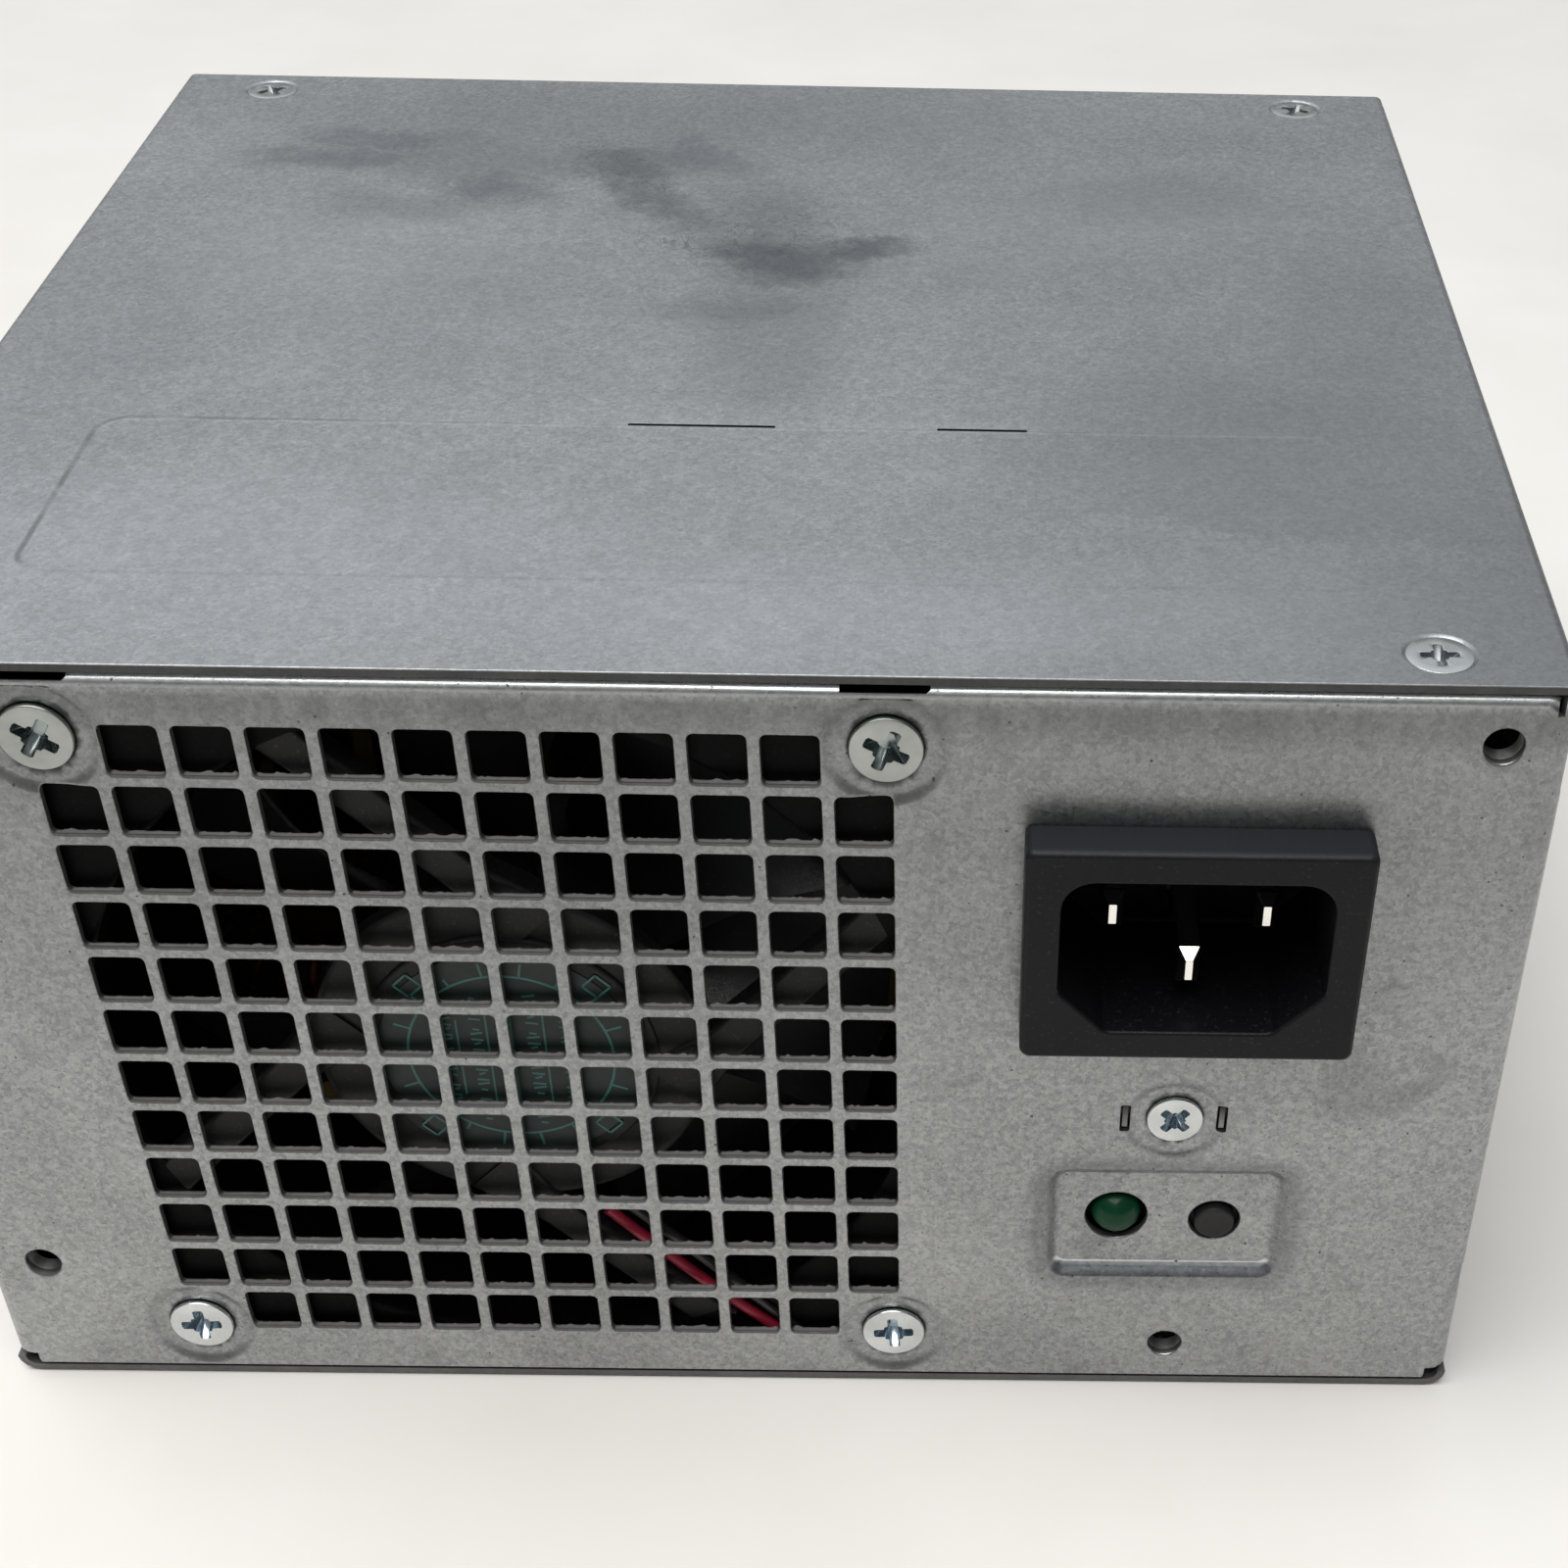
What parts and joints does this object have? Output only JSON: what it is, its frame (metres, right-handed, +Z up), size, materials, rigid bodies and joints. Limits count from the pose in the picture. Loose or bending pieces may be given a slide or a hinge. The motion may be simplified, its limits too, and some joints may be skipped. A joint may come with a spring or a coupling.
{
  "type": "power supply unit",
  "caption": "Desktop computer power supply in a steel case with a square-hole fan grille, mains inlet, status light, test button and output cables.",
  "frame": {"origin": "middle of the case's base, on the outer face of the bottom sheet", "axes": "+Z up, towards the cover; -Y is the rear (mounting) panel's outward direction; +X is to the right looking at the rear panel"},
  "size_m": [0.15, 0.2262, 0.086],
  "materials": {
    "case_steel": "galvanised sheet, fine spangle, satin",
    "cover_steel": "galvanised sheet, bluish, cloudy stains, satin",
    "zinc_screw": "bright zinc plate",
    "inlet_plastic": "moulded, matte",
    "fan_plastic": "moulded, satin black",
    "plated_pin": "nickel plated",
    "bearing_bronze": "sintered bronze",
    "copper": "enamelled copper wire",
    "wire_red": "PVC insulation",
    "wire_black": "PVC insulation",
    "wire_brown": "PVC insulation",
    "wire_blue": "PVC insulation",
    "wire_earth": "PVC insulation, green and yellow",
    "board_laminate": "paper phenolic laminate",
    "led_green": "tinted clear epoxy, unlit",
    "button_grey": "moulded, satin",
    "epoxy_black": "moulded epoxy",
    "insulator_film": "translucent film",
    "fuse_ceramic": "fired, off-white",
    "capacitor_sleeve": "shrink sleeve",
    "yellow_tape": "polyester tape",
    "ferrite": "matt ferrite",
    "heatsink_aluminium": "extruded, satin",
    "grommet_rubber": "soft, matte",
    "cable_sleeving": "braided sleeve over PVC wires",
    "connector_nylon": "moulded nylon"
  },
  "bodies": {
    "case": {"board_screw_1": "zinc_screw", "board_screw_2": "zinc_screw", "board_screw_3": "zinc_screw", "board_screw_4": "zinc_screw", "bracket_screw": "zinc_screw", "bridge_rectifier": "epoxy_black", "bulk_capacitor": "capacitor_sleeve", "cable_grommet": "grommet_rubber", "chassis_tray": "case_steel", "cover_screw_1": "zinc_screw", "cover_screw_2": "zinc_screw", "cover_screw_3": "zinc_screw", "cover_screw_4": "zinc_screw", "cpu_cable": "cable_sleeving", "cpu_connector": "connector_nylon", "earth_pin": "plated_pin", "earth_wire": "wire_earth", "emi_choke": "copper", "fan_bearing": "bearing_bronze", "fan_frame": "fan_plastic", "fan_screw_1": "zinc_screw", "fan_screw_2": "zinc_screw", "fan_screw_3": "zinc_screw", "fan_screw_4": "zinc_screw", "fan_stator": "copper", "fan_wire_black": "wire_black", "fan_wire_red": "wire_red", "fuse": "fuse_ceramic", "inlet_housing": "inlet_plastic", "insulator_sheet": "insulator_film", "led_lens": "led_green", "live_pin": "plated_pin", "live_wire": "wire_brown", "main_board": "board_laminate", "main_cable": "cable_sleeving", "main_connector": "connector_nylon", "neutral_pin": "plated_pin", "neutral_wire": "wire_blue", "output_capacitor_1": "capacitor_sleeve", "output_capacitor_2": "capacitor_sleeve", "output_choke": "copper", "primary_heatsink": "heatsink_aluminium", "rectifier_diode": "epoxy_black", "sata_cable": "cable_sleeving", "sata_connector": "connector_nylon", "secondary_heatsink": "heatsink_aluminium", "standby_transformer": "yellow_tape", "status_board": "board_laminate", "status_bracket": "case_steel", "switch_transistor": "epoxy_black", "test_switch": "epoxy_black", "top_cover": "cover_steel", "transformer_core": "ferrite", "transformer_winding": "yellow_tape", "x_capacitor": "yellow_tape"},
    "rotor": {"fan_rotor": "fan_plastic", "fan_shaft": "zinc_screw"},
    "button": {"test_button": "button_grey"}
  },
  "joints": [
    {"name": "fan_spin", "type": "hinge", "parent": "case", "child": "rotor", "pos_m": [-0.019, -0.054, 0.043], "axis": [0, 1, 0], "continuous": true},
    {"name": "button_press", "type": "slide", "parent": "case", "child": "button", "axis": [0, 1, 0], "range_m": [0, 0.0005], "stiffness_N_per_m": 20}
  ]
}
